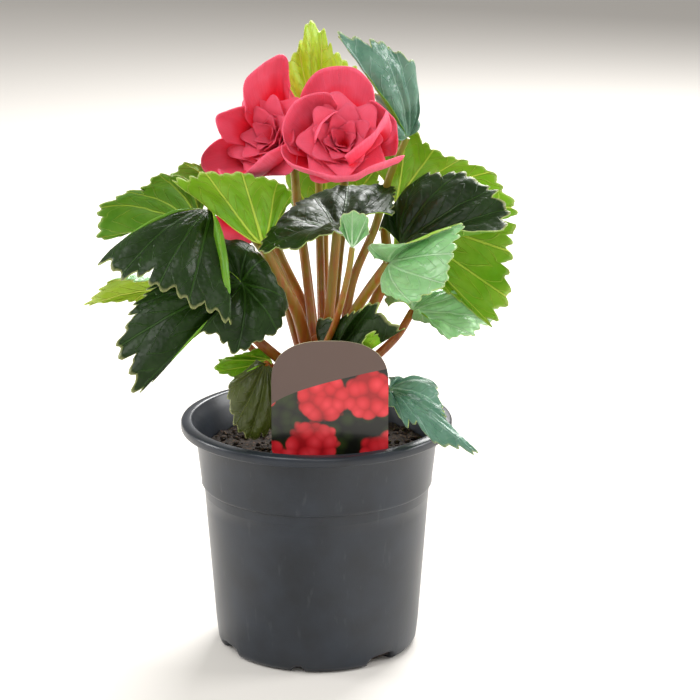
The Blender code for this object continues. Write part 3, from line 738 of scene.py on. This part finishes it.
class BEGONIA_OT_pot(bpy.types.Operator):
    """Builds the moulded pot with its flanged rim and drain arches"""

    bl_idname = "begonia.pot"
    bl_label = "Pot"

    def execute(self, context):
        top = RIM_HEIGHT
        outer = [(0, 0), (BASE_RADIUS - 9, 0)]
        for step in range(7):
            angle = math.pi / 2 * step / 6
            outer.append((BASE_RADIUS - CORNER + CORNER * math.sin(angle), CORNER - CORNER * math.cos(angle)))
        outer += [(BASE_RADIUS + LOWER_TAPER * z / LEDGE_HEIGHT, z) for z in (12, 30, 50, 70)]
        below = BASE_RADIUS + LOWER_TAPER
        above = below + LEDGE_STEP
        outer += [
            (below - 0.1, LEDGE_HEIGHT - 1.5), (below + 0.7, LEDGE_HEIGHT - 1.1),
            (above, LEDGE_HEIGHT - 0.3), (above - 0.1, LEDGE_HEIGHT + 0.5),
            (above + 2.4, top - 8), (above + 3.1, top - 6), (RIM_RADIUS - 3.4, top - 4.4),
            (RIM_RADIUS - 1.2, top - 5.0), (RIM_RADIUS - 0.4, top - 4.9), (RIM_RADIUS, top - 4.2),
            (RIM_RADIUS, top - 1.5), (RIM_RADIUS - 0.4, top - 0.7), (RIM_RADIUS - 1.2, top - 0.25),
        ]
        inner = [
            (RIM_RADIUS - RIM_WIDTH + 1.0, top), (RIM_RADIUS - RIM_WIDTH + 0.3, top - 0.25),
            (RIM_RADIUS - RIM_WIDTH, top - 0.9), (inner_radius(top - 6.5), top - 6.5),
            (inner_radius(LEDGE_HEIGHT), LEDGE_HEIGHT), (inner_radius(5), 5.0),
            (BASE_RADIUS - CORNER, FLOOR), (0, FLOOR),
        ]
        bm = turned(outer + inner, 168)
        for vert in bm.verts:
            radius = vert.co.xy.length
            if vert.co.z < ARCH_FADE and radius > BASE_RADIUS - 9.5:
                fade = 1 - vert.co.z / ARCH_FADE
                vert.co.z += ARCH_DRAWN * arch_lift(vert.co.x, vert.co.y) * fade
        skin = material("pot_moulded_polypropylene", moulded_polypropylene)
        add_piece("pot_shell", bm, [skin], ["pot"])
        return {"FINISHED"}


class BEGONIA_OT_compost(bpy.types.Operator):
    """Builds the compost's crumbly surface and its loose crumbs"""

    bl_idname = "begonia.compost"
    bl_label = "Compost"

    def execute(self, context):
        settings = context.scene.begonia
        draw = random.Random(7)
        edge = inner_radius(SOIL_HEIGHT) - 0.5
        profile = [
            (0, 3.0), (inner_radius(5) - 2, 3.0), (inner_radius(8) - 0.5, 8.0), (edge, SOIL_HEIGHT - 1),
        ]
        profile += [(edge * (1 - i / 36), SOIL_HEIGHT) for i in range(37)]
        bm = turned(profile, 120)
        for vert in bm.verts:
            if vert.co.z > SOIL_HEIGHT - 0.5:
                place = Vector((vert.co.x, vert.co.y, 0))
                rough = noise.noise(place * 0.12) * 1.6 + noise.noise(place * 0.5) * 0.9
                vert.co.z += rough + noise.noise(place * 1.3) * 0.5
        for _ in range(settings.crumbs):
            angle = draw.uniform(0, math.tau)
            radius = (edge - 2) * math.sqrt(draw.random())
            size = draw.uniform(0.5, 1.7)
            turn = Matrix.Rotation(draw.uniform(0, math.tau), 4, "Z")
            tilt = Matrix.Rotation(draw.uniform(0, 2), 4, "X")
            shape = Matrix.Diagonal((size * draw.uniform(1, 2.4), size, size * 0.7, 1))
            spot = (radius * math.cos(angle), radius * math.sin(angle), SOIL_HEIGHT + 0.7)
            placed = Matrix.Translation(spot) @ (turn @ tilt) @ shape
            bmesh.ops.create_icosphere(bm, subdivisions=1, radius=1.0, matrix=placed)
        add_piece("compost", bm, [material("peat_compost", peat_compost)], ["root_ball"])
        return {"FINISHED"}


class BEGONIA_OT_label(bpy.types.Operator):
    """Builds the plant label with its arched top and its stake"""

    bl_idname = "begonia.label"
    bl_label = "Label"

    def execute(self, context):
        middle = (LABEL_LOW.x + LABEL_HIGH.x) / 2
        half = (LABEL_HIGH.x - LABEL_LOW.x) / 2
        depth = (LABEL_LOW.y + LABEL_HIGH.y) / 2
        arch = []
        for step in range(49):
            x = half * math.cos(math.pi * step / 48)
            rise = (1 - abs(x / half) ** ARCH_POWER) ** (1 / ARCH_POWER)
            arch.append((x, LABEL_SPRING + (LABEL_HIGH.z - LABEL_SPRING) * rise))
        stake = LABEL_STAKE / 2
        lower = [
            (-half, LABEL_SHOULDER + 4), (-half + 1.2, LABEL_SHOULDER + 1.2), (-half + 4, LABEL_SHOULDER),
            (-stake, LABEL_SHOULDER - 3), (-stake, LABEL_LOW.z + 8), (0, LABEL_LOW.z),
            (stake, LABEL_LOW.z + 8), (stake, LABEL_SHOULDER - 3), (half - 4, LABEL_SHOULDER),
            (half - 1.2, LABEL_SHOULDER + 1.2), (half, LABEL_SHOULDER + 4),
        ]
        bm = bmesh.new()
        points = [bm.verts.new((middle + x, depth - LABEL_CARD / 2, z)) for x, z in arch + lower]
        face = bm.faces.new(points)
        inset = bmesh.ops.inset_region(bm, faces=[face], thickness=LABEL_BORDER, use_even_offset=True)
        for ring in inset["faces"]:
            ring.material_index = 1
        face.material_index = 0
        grown = bmesh.ops.extrude_face_region(bm, geom=list(bm.faces))
        moved = [item for item in grown["geom"] if isinstance(item, bmesh.types.BMVert)]
        bmesh.ops.translate(bm, vec=(0, LABEL_CARD, 0), verts=moved)
        for item in bm.faces:
            if item.calc_center_median().y > depth - LABEL_CARD / 2 + 0.01:
                item.material_index = 1
        cards = [material("label_printed_card", printed_card), material("label_card_edge", card_edge)]
        piece = add_piece("label_card", bm, cards, ["plant_label"])
        piece.data.set_sharp_from_angle(angle=math.radians(40))
        return {"FINISHED"}


class BEGONIA_OT_stalks(bpy.types.Operator):
    """Builds the main stem and every leaf and flower stalk"""

    bl_idname = "begonia.stalks"
    bl_label = "Stem and stalks"

    def execute(self, context):
        skin = material("fleshy_plant_stalk", fleshy_stalk)
        heights = [STEM_FOOT[2] + i * (STEM_TOP[2] - STEM_FOOT[2]) / 16 for i in range(17)]
        heights += [STEM_TOP[2] + 1.5, STEM_TOP[2] + 3.0]
        radii = [6.2] + [7.2 + 0.4 * math.sin(i * 1.7) for i in range(16)] + [5.6, 2.4]
        tube("stem_main", [stem_axis(z) for z in heights], radii, skin, ["main_stem"])
        for name, leaf in LEAVES.items():
            if "root" in leaf:
                stalk(
                    f"stalk_{name}", f"leaf_stalk_{name}", leaf["root"], leaf["via"],
                    Vector(leaf["base"]), leaf["radius"], skin,
                )
        for name, flower in FLOWERS.items():
            axis = Vector(flower["axis"]).normalized()
            end = Vector(flower["foot"]) - axis * 3.0 * flower["size"]
            replaced = f"flower_stalk_{name.split('_')[0]}"
            stalk(f"stalk_{name}", replaced, flower["root"], flower["via"], end, FLOWER_STALK, skin)
        return {"FINISHED"}


class BEGONIA_OT_leaves(bpy.types.Operator):
    """Builds every leaf blade with its teeth, veins and ruffled margin"""

    bl_idname = "begonia.leaves"
    bl_label = "Leaves"

    def execute(self, context):
        made = {}
        for number, (name, leaf) in enumerate(LEAVES.items()):
            upper, under = LIT_AND_SHADED_TONES[name]
            for key in (("upper", upper), ("under", under)):
                if key not in made:
                    made[key] = leaf_skin(key[1], key[0])
            base = Vector(leaf["base"])
            tips = [Vector(tip) for tip in leaf["tips"]]
            reach = sum((tip - base).length for tip in tips) / len(tips)
            tips = [base + (tip - base) * FULLER.get(name, 1.0) for tip in tips]
            if reach > EARED and name not in EARLESS:
                tips = with_ears(base, tips)
            ruffle = context.scene.begonia.ruffle / MM * min(1.0, reach / 40)
            tooth = TOOTH * min(1.0, 0.4 + reach / 60)
            dip = leaf["dip"] * LEAF_DIP
            bm = fan_mesh(base, tips, leaf["arch"], dip, None, tooth, ruffle, number * 3.1)
            materials = [made[("upper", upper)], made[("under", under)]]
            piece = add_piece(f"blade_{name}", bm, materials, [f"leaf_{name}"], False)
            thicken(piece, BLADE_THICK)
        return {"FINISHED"}


def inner_petals(name, foot, axis, size, count, skin):
    """Overlapping cupped petals in a spiral round the flower's axis, tighter to the middle."""
    across = axis.orthogonal().normalized()
    for number in range(count):
        part = number / (count - 1)
        out = Matrix.Rotation(number * GOLDEN, 3, axis) @ across
        side = axis.cross(out)
        spread = (1.5 + 18.0 * part) * size
        height = (13.0 + 6.0 * math.sin(part * 2.6)) * size
        half = (4.5 + 10.0 * part) * size
        bm = bmesh.new()
        layer = bm.loops.layers.uv.new("veins")
        bmesh.ops.create_grid(bm, x_segments=16, y_segments=12, size=0.5)
        webs = {}
        for vert in bm.verts:
            u, t = vert.co.x * 2, vert.co.y + 0.5
            width = half * math.sin(math.pi * (0.12 + 0.75 * t) ** 0.8) ** 0.7
            round_edge = 1 - 0.22 * abs(u) ** 2.5 * t
            bend = 1.5 + spread * t * round_edge + 1.6 * size * t**6
            curl = -0.45 * half * u * u * (0.4 + 0.6 * (1 - part))
            wave = 0.6 * noise.noise(Vector((u * 1.5, t * 2, number)))
            rise = height * t**0.85 * round_edge * (1 - 0.30 * part * t)
            vert.co = foot + axis * (2 + rise) + out * (bend + curl + wave) + side * (width * u)
            webs[vert] = (u * 2 + 2, 0.35 + 0.65 * t)
        write_webs(bm, layer, webs)
        piece = add_piece(f"{name}_inner_{number}", bm, [skin], [])
        thicken(piece, PETAL_THICK)


class BEGONIA_OT_flowers(bpy.types.Operator):
    """Builds the double flowers: large outer petals and a spiral of inner ones"""

    bl_idname = "begonia.flowers"
    bl_label = "Flowers"

    def execute(self, context):
        settings = context.scene.begonia
        skin = petal_skin(settings.petal_colour, settings.petal_edge)
        for name, flower in FLOWERS.items():
            foot = Vector(flower["foot"])
            axis = Vector(flower["axis"]).normalized()
            size = flower["size"]
            count, scale = INNER[name]
            inner_petals(name, foot, axis, size * scale, count, skin)
            bm = bmesh.new()
            bmesh.ops.create_uvsphere(bm, u_segments=20, v_segments=12, radius=4.2 * size)
            bmesh.ops.translate(bm, vec=foot, verts=bm.verts)
            bm.loops.layers.uv.new("veins")
            add_piece(f"{name}_receptacle", bm, [skin], [f"{name}_heart"])
            for number, (petal, (height, points)) in enumerate(flower["petals"].items()):
                tips = [Vector(tip) for tip in points]
                centre = sum(tips, Vector()) / len(tips)
                tips = [centre + (tip - centre) * PETAL_WIDER for tip in tips]
                middle = centre - foot
                out = (middle - axis * middle.dot(axis)).normalized()
                seat = foot + axis * height * size + out * 3.5 * size
                bm = fan_mesh(seat, tips, 3.0, 0.0, out, None, 3.0, number * 2.3)
                replaced = [f"{name}_petal_{petal}"]
                piece = add_piece(f"{name}_outer_{petal}", bm, [skin], replaced, False)
                thicken(piece, PETAL_THICK)
        return {"FINISHED"}


def area_lamp(name, energy, size, place):
    """A soft square lamp turned to the plant."""
    lamp = bpy.data.lights.new(name, "AREA")
    lamp.energy = energy
    lamp.size = size
    made = bpy.data.objects.new(name, lamp)
    made.location = place
    made.rotation_euler = (Vector(LAMP_TARGET) - Vector(place)).to_track_quat("-Z", "Y").to_euler()
    bpy.context.scene.collection.objects.link(made)


class BEGONIA_OT_stage(bpy.types.Operator):
    """Builds the floor, the soft lamps and the camera"""

    bl_idname = "begonia.stage"
    bl_label = "Stage"

    def execute(self, context):
        scene = context.scene
        bm = bmesh.new()
        bmesh.ops.create_grid(bm, x_segments=1, y_segments=1, size=6.0)
        mesh = bpy.data.meshes.new("floor")
        bm.to_mesh(mesh)
        bm.free()
        floor = bpy.data.objects.new("floor", mesh)
        floor.location.z = -0.0002
        mesh.materials.append(material("pale_painted_floor", painted_floor))
        scene.collection.objects.link(floor)
        world = bpy.data.worlds.new("studio")
        world.use_nodes = True
        scene.world = world
        sky = world.node_tree.nodes["Background"]
        sky.inputs["Color"].default_value = linear("#f3f0ec")
        sky.inputs["Strength"].default_value = 0.42
        for lamp in LAMPS:
            area_lamp(*lamp)
        camera = bpy.data.cameras.new("camera")
        camera.lens = CAMERA_LENS
        camera.clip_end = 50
        made = bpy.data.objects.new("camera", camera)
        made.location = CAMERA_PLACE
        made.rotation_euler = (math.radians(90 - CAMERA_DOWN), 0, 0)
        scene.collection.objects.link(made)
        scene.camera = made
        scene.view_settings.view_transform = "Standard"
        return {"FINISHED"}


OPERATORS = (
    BEGONIA_OT_stage, BEGONIA_OT_pot, BEGONIA_OT_compost, BEGONIA_OT_label, BEGONIA_OT_stalks,
    BEGONIA_OT_leaves, BEGONIA_OT_flowers,
)


class BEGONIA_PT_panel(bpy.types.Panel):
    """Lists the settings and the operators"""

    bl_label = "Begonia"
    bl_idname = "BEGONIA_PT_panel"
    bl_space_type = "VIEW_3D"
    bl_region_type = "UI"
    bl_category = "Begonia"

    def draw(self, context):
        for name in BegoniaSettings.__annotations__:
            self.layout.prop(context.scene.begonia, name)
        for operator in OPERATORS:
            self.layout.operator(operator.bl_idname)


CLASSES = (BegoniaSettings, *OPERATORS, BEGONIA_PT_panel)


def register():
    for item in CLASSES:
        bpy.utils.register_class(item)
    bpy.types.Scene.begonia = bpy.props.PointerProperty(type=BegoniaSettings)


def unregister():
    del bpy.types.Scene.begonia
    for item in reversed(CLASSES):
        bpy.utils.unregister_class(item)


def main():
    register()
    for call in (
        bpy.ops.begonia.stage, bpy.ops.begonia.pot, bpy.ops.begonia.compost, bpy.ops.begonia.label,
        bpy.ops.begonia.stalks, bpy.ops.begonia.leaves, bpy.ops.begonia.flowers,
    ):
        if call() != {"FINISHED"}:
            raise RuntimeError(f"{call} did not finish")
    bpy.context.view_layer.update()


if __name__ == "__main__":
    main()
